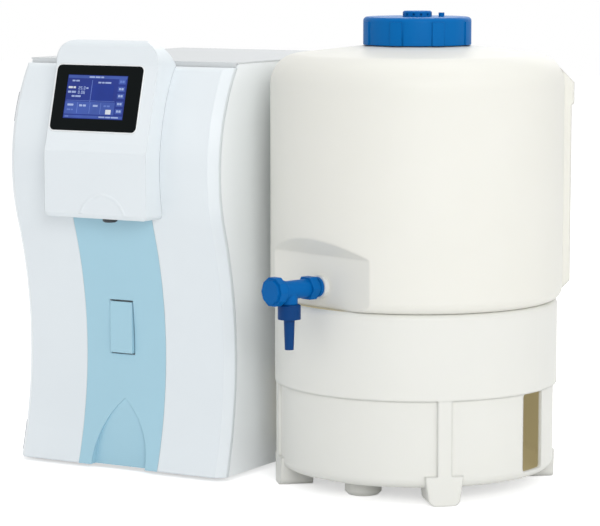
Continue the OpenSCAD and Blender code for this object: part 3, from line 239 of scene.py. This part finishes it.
M = {
    # Side panels' white made lighter than the door's, offsetting the tank's shade on them:
    # painted light
    "cabinet": shade("cabinet_paint", (246, 250, 252), (249, 252, 253), rough=(0.34, 0.42),
                     **PAINT),
    # Top panel painted grey, darker than the cabinet's white, for the shade on the top: painted
    # shade
    "lid": shade("lid_paint_painted_shade", (208, 211, 212), (214, 216, 217), rough=(0.5, 0.6), specular=0.12,
                 **PAINT),
    # Rear panel in a darker copy of the cabinet paint, offsetting the back lamp's light: painted
    # shade
    "rear": shade("rear_paint_painted_shade", (224, 228, 230), (229, 232, 234), rough=(0.38, 0.46), **PAINT),
    "sheet": shade("bare_sheet", (165, 168, 168), (182, 184, 184), rough=(0.35, 0.5),
                   metallic=0.9, grain=500, brush=(1, 1, 12)),
    "door": shade("white_plastic", (223, 229, 233), (227, 233, 236), rough=(0.26, 0.34),
                  coat=0.15, coat_rough=0.2, edge=0.0022),
    "inlay": shade("blue_inlay", (165, 204, 220), (170, 208, 223), rough=(0.3, 0.38),
                   specular=0.3, edge=0.0006),
    "bezel": shade("black_gloss", (3, 8, 9), (5, 11, 12), rough=(0.18, 0.24), specular=0.05,
                   edge=0.0005),
    "rim": shade("frame_rim", (234, 237, 238), (238, 240, 240), rough=(0.22, 0.3), edge=0.0003),
    "board": shade("board_green", (20, 78, 48), (28, 92, 58), rough=(0.4, 0.5)),
    # Nozzle made darker than its grey for the shade under the head: painted shade
    "outlet": shade("outlet_grey_painted_shade", (55, 59, 63), (65, 69, 72), rough=(0.4, 0.5), specular=0.3),
    "port": shade("port_white", (213, 215, 215), (220, 222, 222), rough=(0.35, 0.45),
                  edge=0.0004),
    "dark": shade("dark_plastic", (26, 27, 29), (36, 37, 39), rough=(0.4, 0.55)),
    "foot": shade("foot_rubber", (38, 39, 41), (46, 47, 49), rough=(0.7, 0.85), grain=700,
                  grain_depth=0.00006),
    "steel": shade("hinge_steel", (150, 152, 155), (172, 174, 176), rough=(0.28, 0.4),
                   metallic=1.0, edge=0.0004, brush=(1, 1, 20), grain=300),
    "stainless": shade("stainless", (170, 172, 174), (190, 192, 193), rough=(0.22, 0.32),
                       metallic=1.0, edge=0.0005, brush=(30, 1, 1), grain=200),
    "filter": shade("filter_white", (222, 223, 220), (228, 229, 225), rough=(0.4, 0.5),
                    edge=0.0008),
    "tube": shade("tube_clear", (214, 224, 228), (226, 233, 236), rough=(0.25, 0.35), sss=0.2),
    "alloy": shade("cast_alloy", (52, 53, 56), (66, 67, 70), rough=(0.45, 0.6), metallic=0.6,
                   grain=400, grain_depth=0.00015, edge=0.001),
    "supply": shade("supply_alloy", (170, 172, 174), (186, 188, 190), rough=(0.35, 0.45),
                    metallic=0.9, edge=0.0006),
    "tank": shade("tank_ivory", (224, 223, 215), (228, 227, 220), edge=0.005, **IVORY),
    # The stand's inside has painted shade and a painted glow
    "stand": shade("stand_ivory_painted_inside", (221, 221, 216), (225, 225, 219), edge=0.004, inner=True,
                   **IVORY),
    "cap": shade("cap_blue", (0, 94, 164), (0, 105, 175), rough=(0.36, 0.46), specular=0.08,
                 edge=0.001),
    "tap": shade("tap_blue", (0, 90, 160), (0, 101, 172), rough=(0.34, 0.44), specular=0.08,
                 edge=0.0009),
    "spout": shade("spout_blue", (2, 53, 107), (7, 63, 121), rough=(0.34, 0.44), specular=0.12,
                   edge=0.0006),
    "seal": shade("seal_grey", (96, 99, 102), (108, 111, 114), rough=(0.6, 0.75)),
    "seal_white": shade("seal_white", (217, 218, 216), (223, 224, 221), rough=(0.5, 0.6)),
    "band_blue": shade("band_blue", (40, 92, 158), (48, 102, 168), rough=(0.4, 0.5)),
    "band_green": shade("band_green", (58, 132, 92), (66, 142, 100), rough=(0.4, 0.5)),
    "screen": glow("screen", (36, 56, 144)),
}

# Tones of the screen's graphics, in the order of their material index
SCREEN_TONES = [
    glow("screen_dark", (30, 56, 150)),
    glow("screen_pale", (66, 92, 176)),
    glow("screen_line", (104, 130, 208)),
    glow("screen_text", (168, 186, 240)),
    glow("screen_white", (226, 236, 255)),
]

# The solids of the frame that each material dresses
GIVEN = {
    "cabinet": "side_panel_left side_panel_right",
    "lid": "top_panel",
    "rear": "rear_panel",
    "sheet": "base_tray mid_plate",
    "door": "door_shell pod_shell",
    "inlay": "door_inlay paddle",
    "bezel": "display_bezel",
    "screen": "display_screen",
    "board": "display_board control_board",
    "outlet": "outlet_nozzle",
    "port": "water_ports",
    "dark": "door_catch uv_clips dispense_valve mains_inlet rear_switch switch_frame fan_frame"
            " fan_rotor",
    "foot": "cabinet_feet",
    "steel": "hinge_frame_leaves hinge_pins hinge_door_leaves door_strike paddle_pin"
             " cartridge_clips",
    "stainless": "uv_chamber",
    "filter": "final_filter pretreat_cartridge membrane_housing polish_cartridge",
    "tube": "tube_feed tube_permeate tube_polished tube_product",
    "alloy": "booster_pump",
    "supply": "power_supply",
    "tank": "tank_shell",
    "stand": "tank_stand",
    "cap": "cap cap_vent",
    "tap": "tap_body tap_back_nut tap_knob",
    "spout": "tap_spout",
    "seal": "cap_seal",
    "seal_white": "tap_gasket",
}


def dress(obj, mat):
    obj.data.materials.clear()
    obj.data.materials.append(mat)


for key, names in GIVEN.items():
    for name in names.split():
        dress(nodes[name], M[key])


# ---- Mesh helpers, in millimetres of a local frame ----

def rounded(cx, cy, w, h, r, steps):
    """Outline of a rectangle with round corners, anticlockwise."""
    points = []
    for sx, sy, start in ((1, 1, 0), (-1, 1, 90), (-1, -1, 180), (1, -1, 270)):
        for i in range(steps + 1):
            a = math.radians(start + 90 * i / steps)
            x = cx + sx * (w / 2 - r) + r * math.cos(a)
            y = cy + sy * (h / 2 - r) + r * math.sin(a)
            points.append((x, y))
    return points


def prism(bm, outline, z0, z1, index):
    """Solid with straight sides over an outline, in the material of that index."""
    low = [bm.verts.new((x, y, z0)) for x, y in outline]
    high = [bm.verts.new((x, y, z1)) for x, y in outline]
    faces = [bm.faces.new(low[::-1]), bm.faces.new(high)]
    for i in range(len(outline)):
        j = (i + 1) % len(outline)
        faces.append(bm.faces.new((low[i], low[j], high[j], high[i])))
    for face in faces:
        face.material_index = index


def ring(bm, rows):
    """Closed band through rows of points: each row is a loop, and the last meets the first."""
    loops = [[bm.verts.new(p) for p in row] for row in rows]
    count = len(loops[0])
    for k in range(len(loops)):
        a, b = loops[k], loops[(k + 1) % len(loops)]
        for i in range(count):
            j = (i + 1) % count
            bm.faces.new((a[i], a[j], b[j], b[i])).smooth = True


def circle(r, z, count, cx=0.0, cy=0.0):
    turns = [2 * math.pi * i / count for i in range(count)]
    return [(cx + r * math.cos(a), cy + r * math.sin(a), z) for a in turns]


def torus(bm, r, z, wire, cx, cy, count=72, sides=10):
    rows = []
    for k in range(sides):
        a = 2 * math.pi * k / sides
        rows.append(circle(r + wire * math.cos(a), z + wire * math.sin(a), count, cx, cy))
    ring(bm, rows)


def rod(bm, a, b, wire, sides=10):
    """Round wire from a to b with closed ends."""
    a, b = Vector(a), Vector(b)
    along = (b - a).normalized()
    side = along.orthogonal().normalized()
    up = along.cross(side)
    loops = []
    for end in (a, b):
        loops.append([bm.verts.new(end + wire * (math.cos(t) * side + math.sin(t) * up))
                      for t in (2 * math.pi * i / sides for i in range(sides))])
    for i in range(sides):
        j = (i + 1) % sides
        bm.faces.new((loops[0][i], loops[0][j], loops[1][j], loops[1][i])).smooth = True
    bm.faces.new(loops[0][::-1])
    bm.faces.new(loops[1])


SCREW_SIDES = 24


def screw(bm, x, y, r, z=0.0):
    """Pan head with a crossed recess, standing on z of the local frame."""
    rise = r * 0.42
    rows = [circle(r * wide, z + rise * up, SCREW_SIDES, x, y)
            for wide, up in ((1, 0), (1, 0.4), (0.84, 0.85), (0.62, 1))]
    loops = [[bm.verts.new(p) for p in row] for row in rows]
    for a, b in zip(loops, loops[1:]):
        for i in range(SCREW_SIDES):
            j = (i + 1) % SCREW_SIDES
            bm.faces.new((a[i], a[j], b[j], b[i])).smooth = True
    bm.faces.new(loops[0][::-1])
    arm, half = r * 0.5, r * 0.13
    cross = [(arm, half), (half, half), (half, arm), (-half, arm), (-half, half), (-arm, half),
             (-arm, -half), (-half, -half), (-half, -arm), (half, -arm), (half, -half),
             (arm, -half)]
    count = len(cross)
    top = z + rise
    edge = [bm.verts.new((x + cx, y + cy, top)) for cx, cy in cross]
    deep = [bm.verts.new((x + cx * 0.8, y + cy * 0.8, top - rise * 0.6)) for cx, cy in cross]
    for i in range(count):
        j = (i + 1) % count
        bm.faces.new((edge[i], deep[i], deep[j], edge[j]))
    bm.faces.new(deep)
    # The flat top: two sides of the head meet each point of the cross
    for i in range(SCREW_SIDES):
        a, b = loops[-1][i], loops[-1][(i + 1) % SCREW_SIDES]
        k = i // 2
        if i % 2:
            bm.faces.new((a, b, edge[(k + 1) % count], edge[k]))
        else:
            bm.faces.new((a, b, edge[k]))


def piece(name, body, mats, build, matrix):
    """Builds a mesh in millimetres of a local frame, sets it in the shared frame and rides it."""
    bm = bmesh.new()
    build(bm)
    metres = Matrix.Diagonal((0.001, 0.001, 0.001, 1))
    bmesh.ops.transform(bm, matrix=matrix @ metres, verts=bm.verts)
    bmesh.ops.recalc_face_normals(bm, faces=bm.faces)
    mesh = bpy.data.meshes.new(name)
    bm.to_mesh(mesh)
    bm.free()
    for mat in mats:
        mesh.materials.append(mat)
    obj = bpy.data.objects.new(name, mesh)
    scene.collection.objects.link(obj)
    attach(obj, body)


def at(x, y, z):
    """A point in the cabinet's own millimetres, as a place in the shared frame."""
    return Matrix.Translation(((x + UNIT[0]) / 1000, (y + UNIT[1]) / 1000, z / 1000))


# ---- Display ----

# Tilt of the display's face, and the black frame's width, height and corner
TILT = math.radians(15)
BEZEL_W, BEZEL_H, BEZEL_R = 125, 81, 6
SCREEN_W, SCREEN_H = 87.0, 54.0

low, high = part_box("display_bezel")
middle = (Vector(low) + Vector(high)) / 2
outward = Vector((0, -math.cos(TILT), math.sin(TILT)))
# On the display face: X across, Y up the face, Z out of it, from the middle of the black frame
UPRIGHT = Matrix.Rotation(math.pi / 2 - TILT, 4, "X")
DISPLAY = Matrix.Translation(middle + outward * 0.0005) @ UPRIGHT
SCREEN = DISPLAY @ Matrix.Translation((-0.002, 0.0015, 0))


def frame_rim(bm):
    """Thin rounded bead that frames the black panel on the head's face."""
    rows = []
    for grow, z in ((0.3, 0.0), (0.35, 0.5), (0.9, 0.8), (1.7, 0.55), (2.2, 0.0)):
        outline = rounded(0, 0, BEZEL_W + 2 * grow, BEZEL_H + 2 * grow, BEZEL_R + grow, 8)
        rows.append([(x, y, z) for x, y in outline])
    ring(bm, rows)


piece("display_rim", "door", [M["rim"]], frame_rim, DISPLAY)

# Heights above the screen: where every bar starts, and where boxes and finer marks end
ART_LOW, ART_BOX, ART_MARK = 0.02, 0.12, 0.2
# Strokes of a digit: a top, b and c right, d bottom, e and f left, g middle
STROKES = {"0": "abcdef", "2": "abged", "5": "afgcd", "6": "afgedc"}


def screen_art(bm):
    """Generic screen layout: bars, boxes, dividing lines and plain numbers. Places are shares
    of the screen's width from its left and of its height from its top."""
    dark, pale, line, text, white = range(len(SCREEN_TONES))

    def bar(s0, t0, s1, t1, tone, z=ART_MARK):
        x0, x1 = (s0 - 0.5) * SCREEN_W, (s1 - 0.5) * SCREEN_W
        y0, y1 = (0.5 - t1) * SCREEN_H, (0.5 - t0) * SCREEN_H
        r = min(0.35, (x1 - x0) * 0.3, (y1 - y0) * 0.3)
        outline = rounded((x0 + x1) / 2, (y0 + y1) / 2, x1 - x0, y1 - y0, r, 2)
        prism(bm, outline, ART_LOW, z, tone)

    def words(s, t, lengths, tone=text, h=0.035, gap=0.012):
        """Short bars in a row in place of words."""
        for length in lengths:
            bar(s, t - h / 2, s + length, t + h / 2, tone)
            s += length + gap

    def number(s, t, digits, h=0.07):
        w, k = h * 0.36, h * 0.15
        thin = k * 0.62
        for digit in digits:
            if digit == ".":
                bar(s, t + h / 2 - k, s + k * 0.7, t + h / 2, text)
                s += k * 1.6
                continue
            strokes = {
                "a": (s, t - h / 2, s + w, t - h / 2 + k),
                "b": (s + w - thin, t - h / 2, s + w, t),
                "c": (s + w - thin, t, s + w, t + h / 2),
                "d": (s, t + h / 2 - k, s + w, t + h / 2),
                "e": (s, t, s + thin, t + h / 2),
                "f": (s, t - h / 2, s + thin, t),
                "g": (s, t - k / 2, s + w, t + k / 2),
            }
            for stroke in STROKES[digit]:
                bar(*strokes[stroke], text)
            s += w + k

    # Title row
    bar(0.01, 0.01, 0.99, 0.075, pale, ART_BOX)
    words(0.36, 0.043, (0.09, 0.08, 0.05))
    words(0.08, 0.135, (0.05, 0.06))
    words(0.52, 0.165, (0.05, 0.04, 0.1))
    # Readings at the left, and the box beside them
    bar(0.45, 0.215, 0.79, 0.585, dark, ART_BOX)
    bar(0.415, 0.11, 0.423, 0.62, line)
    words(0.03, 0.29, (0.07, 0.04), white, 0.045)
    number(0.2, 0.3, "25.0")
    words(0.33, 0.3, (0.035,))
    words(0.03, 0.395, (0.05, 0.07), text, 0.045)
    number(0.2, 0.4, "0.06")
    words(0.1, 0.49, (0.05, 0.09), text, 0.04)
    # Box with four columns
    bar(0.02, 0.585, 0.83, 0.593, line)
    bar(0.01, 0.61, 0.84, 0.9, pale, ART_BOX)
    words(0.05, 0.69, (0.1,), text, 0.045)
    words(0.25, 0.7, (0.05, 0.05), text, 0.045)
    words(0.48, 0.7, (0.08,), text, 0.045)
    words(0.66, 0.7, (0.04, 0.05), line, 0.04)
    words(0.05, 0.8, (0.06, 0.03), line, 0.035)
    for s in (0.215, 0.425, 0.605):
        bar(s, 0.63, s + 0.008, 0.88, line)
    bar(0.7, 0.78, 0.79, 0.885, white)
    # Keys at the right, and the bottom row
    for i, t in enumerate((0.13, 0.3, 0.46, 0.64, 0.81)):
        bar(0.86, t - 0.055, 0.975, t + 0.06, pale, ART_BOX)
        words(0.88, t, (0.03, 0.035), text if i else line, 0.05, 0.008)
    bar(0.01, 0.925, 0.99, 0.985, pale, ART_BOX)
    words(0.03, 0.955, (0.06,), line, 0.03)
    words(0.6, 0.955, (0.1, 0.08, 0.12), text, 0.03)


piece("screen_graphics", "door", SCREEN_TONES, screen_art, SCREEN)


# ---- Rear ----

# On the rear panel: X across, Y down, Z out of it, from the middle of the cabinet at the bench
REAR = at(0, 395, 0) @ Matrix.Rotation(-math.pi / 2, 4, "X")
FAN_X, FAN_Y = -60, -300
FAN_HOLE = 35.5
INLET_X, INLET_Y, INLET_HOLE = 105, -50, 16.5
PORT_X, PORT_Y, PORT_PITCH = -110, -70, 32


def fan_guard(bm):
    """Wire rings on four spokes, each ending in an eye."""
    wire = 0.8
    inner, outer, eye_at = 9, 46, 50.2
    for r in (inner, 17, 25, 33):
        torus(bm, r, 3.2, wire, FAN_X, FAN_Y)
    for k in range(4):
        a = math.radians(45 + 90 * k)
        c, s = math.cos(a), math.sin(a)
        rod(bm, (FAN_X + inner * c, FAN_Y + inner * s, 1.8),
            (FAN_X + outer * c, FAN_Y + outer * s, 1.8), wire)
        torus(bm, 4.0, 0.9, wire, FAN_X + eye_at * c, FAN_Y + eye_at * s, 24)


def rear_screws(bm):
    """Screws of the rear panel, the fan and the mains inlet."""
    for sx in (-1, 1):
        for height in (28, 180, 330, 484):
            screw(bm, sx * 141, -height, 3.2)
        for sy in (-1, 1):
            screw(bm, FAN_X + sx * FAN_HOLE, FAN_Y + sy * FAN_HOLE, 2.8)
        screw(bm, INLET_X + sx * INLET_HOLE, INLET_Y, 1.8, 3.0)


def port_bands(bm):
    """A coloured band round each water port."""
    for i in range(4):
        x = PORT_X + PORT_PITCH * i
        ring(bm, [circle(r, z, 48, x, PORT_Y)
                  for r, z in ((7.4, 7.4), (7.75, 7.6), (7.75, 9.8), (7.4, 10.0))])


piece("fan_guard", "frame", [M["steel"]], fan_guard, REAR)
piece("rear_screws", "frame", [M["steel"]], rear_screws, REAR)
piece("port_bands", "frame", [M["band_blue"]], port_bands, REAR)


# ---- Hinges ----

# On the left side: X to the rear, Y up, Z out of it
LEFT = at(-151.5, 0, 0) @ Matrix(((0, 0, -1, 0), (1, 0, 0, 0), (0, 1, 0, 0), (0, 0, 0, 1)))
# Foot of the lower and the upper hinge, and the holes above it
HINGE_LOW, HINGE_HIGH = 12, 430
LEAF_HOLES = (8, 28)


def frame_leaf_screws(bm):
    for z in (HINGE_LOW, HINGE_HIGH):
        for up in LEAF_HOLES:
            screw(bm, 55.5, z + up, 2.6, 1.2)


def door_leaf_screws(bm):
    for z, back in ((HINGE_LOW, 27.8), (HINGE_HIGH, 24)):
        for up in LEAF_HOLES:
            screw(bm, back, z + up, 2.2, 1.6)


piece("frame_leaf_screws", "frame", [M["steel"]], frame_leaf_screws, LEFT)
piece("door_leaf_screws", "door", [M["steel"]], door_leaf_screws, LEFT)


# ---- Cartridges ----

CART_Y = 128
CART_PITCH = 92
CART_R, MEMBRANE_R = 42, 30
# Each band as its rise over the wall and its height: a broad one, and a thin one above it
BANDS = (((0, 150), (0.25, 150.3), (0.25, 171.7), (0, 172)),
         ((0, 178), (0.25, 178.2), (0.25, 180.8), (0, 181)))


def cartridge_band(x, r):
    def build(bm):
        for band in BANDS:
            ring(bm, [circle(r + rise, z, 64, x, CART_Y) for rise, z in band])
    return build


piece("pretreat_band", "frame", [M["band_blue"]],
      cartridge_band(-CART_PITCH, CART_R), at(0, 0, 0))
piece("membrane_band", "frame", [M["band_green"]],
      cartridge_band(0, MEMBRANE_R), at(0, 0, 0))
piece("polish_band", "frame", [M["band_blue"]],
      cartridge_band(CART_PITCH, CART_R), at(0, 0, 0))


# ---- Floor, world and lamps ----

def seen_rays(n):
    """1 for camera, mirror and glass rays, and 0 for the rest."""
    path = n.add("ShaderNodeLightPath")
    both = n.add("ShaderNodeMath", operation="MAXIMUM")
    n.link(path.outputs["Is Camera Ray"], both.inputs[0])
    n.link(path.outputs["Is Glossy Ray"], both.inputs[1])
    seen = n.add("ShaderNodeMath", operation="MAXIMUM")
    n.link(both.outputs[0], seen.inputs[0])
    n.link(path.outputs["Is Transmission Ray"], seen.inputs[1])
    return seen.outputs[0]


def floor_material(name, rgb, strength):
    """Pale matt surface that looks lighter to the camera, in mirrors and through glass than it
    lights the object, and keeps the object's shadow."""
    mat = bpy.data.materials.new(name)
    mat.use_nodes = True
    n = Nodes(mat.node_tree)
    out = n.add("ShaderNodeOutputMaterial")
    diffuse = n.add("ShaderNodeBsdfDiffuse")
    diffuse.inputs["Color"].default_value = lin(rgb)
    emit = n.add("ShaderNodeEmission")
    power = n.add("ShaderNodeMath", operation="MULTIPLY")
    n.link(seen_rays(n), power.inputs[0])
    power.inputs[1].default_value = strength
    n.link(power.outputs[0], emit.inputs["Strength"])
    add = n.add("ShaderNodeAddShader")
    n.link(diffuse.outputs[0], add.inputs[0])
    n.link(emit.outputs[0], add.inputs[1])
    n.link(add.outputs[0], out.inputs["Surface"])
    return mat


FLOOR_HALF = 9
floor_mesh = bpy.data.meshes.new("floor")
floor_mesh.from_pydata([(-FLOOR_HALF, -FLOOR_HALF, 0), (FLOOR_HALF, -FLOOR_HALF, 0),
                        (FLOOR_HALF, FLOOR_HALF, 0), (-FLOOR_HALF, FLOOR_HALF, 0)],
                       [], [(0, 1, 2, 3)])
floor = bpy.data.objects.new("floor", floor_mesh)
scene.collection.objects.link(floor)
dress(floor, floor_material("floor", (240, 240, 240), 0.52))

world = bpy.data.worlds.new("world")
scene.world = world
world.use_nodes = True
w = Nodes(world.node_tree)
w_out = w.add("ShaderNodeOutputWorld")
w_light = w.add("ShaderNodeBackground")
w_light.inputs["Color"].default_value = (0.98, 0.99, 1.0, 1)
w_light.inputs["Strength"].default_value = 0.62
w_seen = w.add("ShaderNodeBackground")
w_seen.inputs["Color"].default_value = (1, 1, 1, 1)
w_seen.inputs["Strength"].default_value = 1.0
w_mix = w.add("ShaderNodeMixShader")
w.link(seen_rays(w), w_mix.inputs[0])
w.link(w_light.outputs[0], w_mix.inputs[1])
w.link(w_seen.outputs[0], w_mix.inputs[2])
w.link(w_mix.outputs[0], w_out.inputs["Surface"])


def lamp(name, place, size, watts, target=(0, 0, 0.3), colour=(1, 1, 1)):
    data = bpy.data.lights.new(name, "AREA")
    data.shape = "RECTANGLE"
    data.size, data.size_y = size
    data.energy = watts
    data.color = colour
    obj = bpy.data.objects.new(name, data)
    obj.location = place
    aim = Vector(target) - Vector(place)
    obj.rotation_euler = aim.to_track_quat("-Z", "Y").to_euler()
    scene.collection.objects.link(obj)


lamp("key", (2.5, -3.15, 1.7), (1.8, 1.4), 53)
lamp("right", (3.6, -0.6, 1.5), (1.8, 1.6), 18, target=(0.16, 0, 0.3), colour=(1, 0.985, 0.96))
lamp("fill", (-2.6, -2.8, 1.4), (2.2, 1.6), 9, colour=(0.96, 0.98, 1))
lamp("top", (0.2, 0.3, 3.2), (2.4, 2.4), 28)
lamp("back", (-0.6, 3.0, 1.8), (2.2, 1.6), 14)
